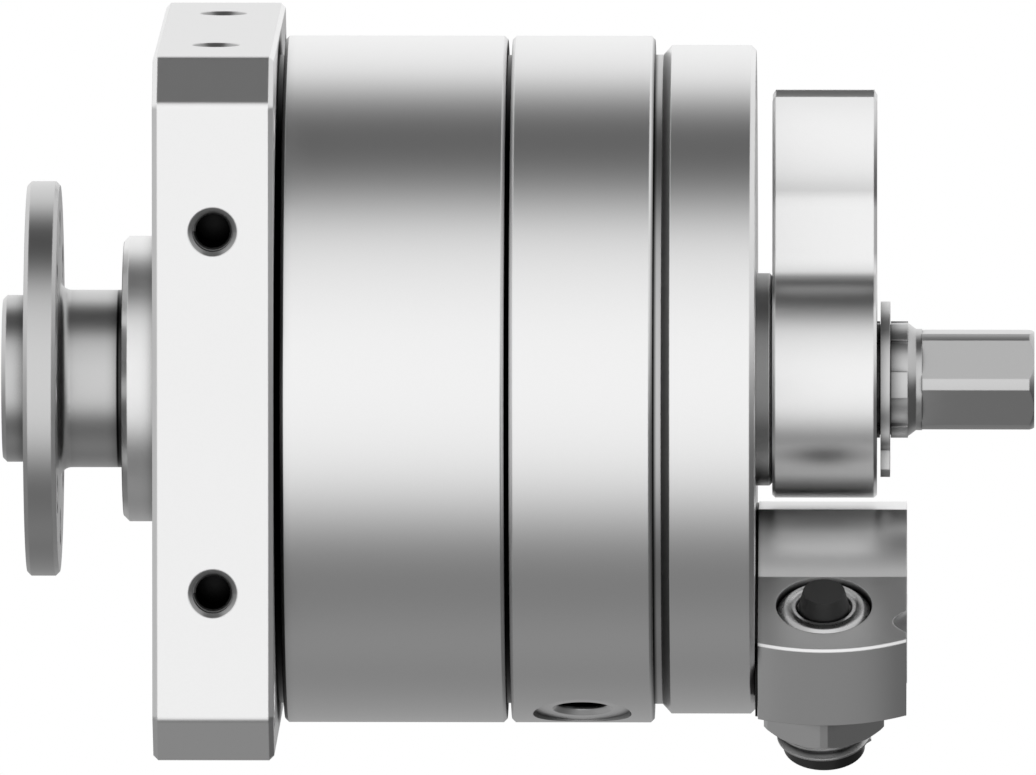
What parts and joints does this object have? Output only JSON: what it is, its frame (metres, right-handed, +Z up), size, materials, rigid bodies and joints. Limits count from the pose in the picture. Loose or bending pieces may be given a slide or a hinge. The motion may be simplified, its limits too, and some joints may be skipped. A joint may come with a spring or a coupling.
{
  "type": "semi-rotary actuator",
  "caption": "Pneumatic semi-rotary actuator: a vane turns a flanged shaft through most of a turn, and a lever on its rear end meets cushioned, adjustable stops.",
  "frame": {"origin": "on the shaft's axis, at the mounting plate's front face", "axes": "+X along the shaft towards the hexagon end, +Z up through the stop lever at mid-travel"},
  "size_m": [0.0859, 0.0584, 0.0611],
  "materials": {
    "housing_aluminium": "fine-turned, natural anodised",
    "lever_aluminium": "milled, natural anodised",
    "carrier_aluminium": "milled, natural anodised",
    "shaft_steel": "ground and turned, bright",
    "bearing_steel": "ground",
    "screw_steel": "zinc plated",
    "spring_steel": "phosphated, dark",
    "spacer_steel": "blackened",
    "stop_steel": "zinc plated",
    "buffer_rubber": "black polyurethane",
    "seal_rubber": "black nitrile",
    "vane_plastic": "moulded, glass filled",
    "cage_plastic": "moulded",
    "washer_plastic": "filled bearing plastic",
    "gasket": "moulded"
  },
  "bodies": {
    "stator": {"mounting_plate": "housing_aluminium", "front_housing": "housing_aluminium", "rear_housing": "housing_aluminium", "rear_ring": "housing_aluminium", "stop_carrier": "carrier_aluminium", "housing_gasket": "gasket", "body_screws": "screw_steel", "ring_screws": "screw_steel", "carrier_screw": "screw_steel", "carrier_pins": "bearing_steel", "separator": "vane_plastic", "separator_seal": "seal_rubber", "separator_pins": "bearing_steel", "front_thrust_washer": "washer_plastic", "rear_thrust_washer": "washer_plastic", "front_bearing_cup": "bearing_steel", "rear_bearing_cup": "bearing_steel", "wiper_seal": "seal_rubber", "front_shaft_seal": "seal_rubber", "rear_shaft_seal": "seal_rubber", "left_lock_nut": "screw_steel", "right_lock_nut": "screw_steel"},
    "rotor": {"drive_shaft": "shaft_steel", "rotary_vane": "vane_plastic", "vane_key": "bearing_steel", "vane_seal": "seal_rubber", "vane_snap_ring": "spring_steel", "lever_spacer": "spacer_steel", "stop_lever": "lever_aluminium", "lever_circlip": "spring_steel"},
    "front_needle_set": {"front_needles": "bearing_steel", "front_needle_cage": "cage_plastic"},
    "rear_needle_set": {"rear_needles": "bearing_steel", "rear_needle_cage": "cage_plastic"},
    "left_stop": {"left_stop_sleeve": "stop_steel", "left_stop_buffer": "buffer_rubber"},
    "right_stop": {"right_stop_sleeve": "stop_steel", "right_stop_buffer": "buffer_rubber"}
  },
  "joints": [
    {"name": "output_turn", "type": "hinge", "parent": "stator", "child": "rotor", "pos_m": [0, 0, 0], "axis": [1, 0, 0], "range_deg": [-130, 130]},
    {"name": "front_needle_roll", "type": "hinge", "parent": "stator", "child": "front_needle_set", "pos_m": [0.0052, 0, 0], "axis": [1, 0, 0], "range_deg": [-57.5, 57.5]},
    {"name": "rear_needle_roll", "type": "hinge", "parent": "stator", "child": "rear_needle_set", "pos_m": [0.045, 0, 0], "axis": [1, 0, 0], "range_deg": [-54.5, 54.5]},
    {"name": "left_stop_screw", "type": "slide", "parent": "stator", "child": "left_stop", "axis": [0, 0.5, -0.866], "range_m": [0, 0.003]},
    {"name": "right_stop_screw", "type": "slide", "parent": "stator", "child": "right_stop", "axis": [0, -0.5, -0.866], "range_m": [0, 0.003]}
  ],
  "couplings": [
    {"joint": "front_needle_roll", "follows": "output_turn", "ratio": 0.4375},
    {"joint": "rear_needle_roll", "follows": "output_turn", "ratio": 0.4138}
  ]
}
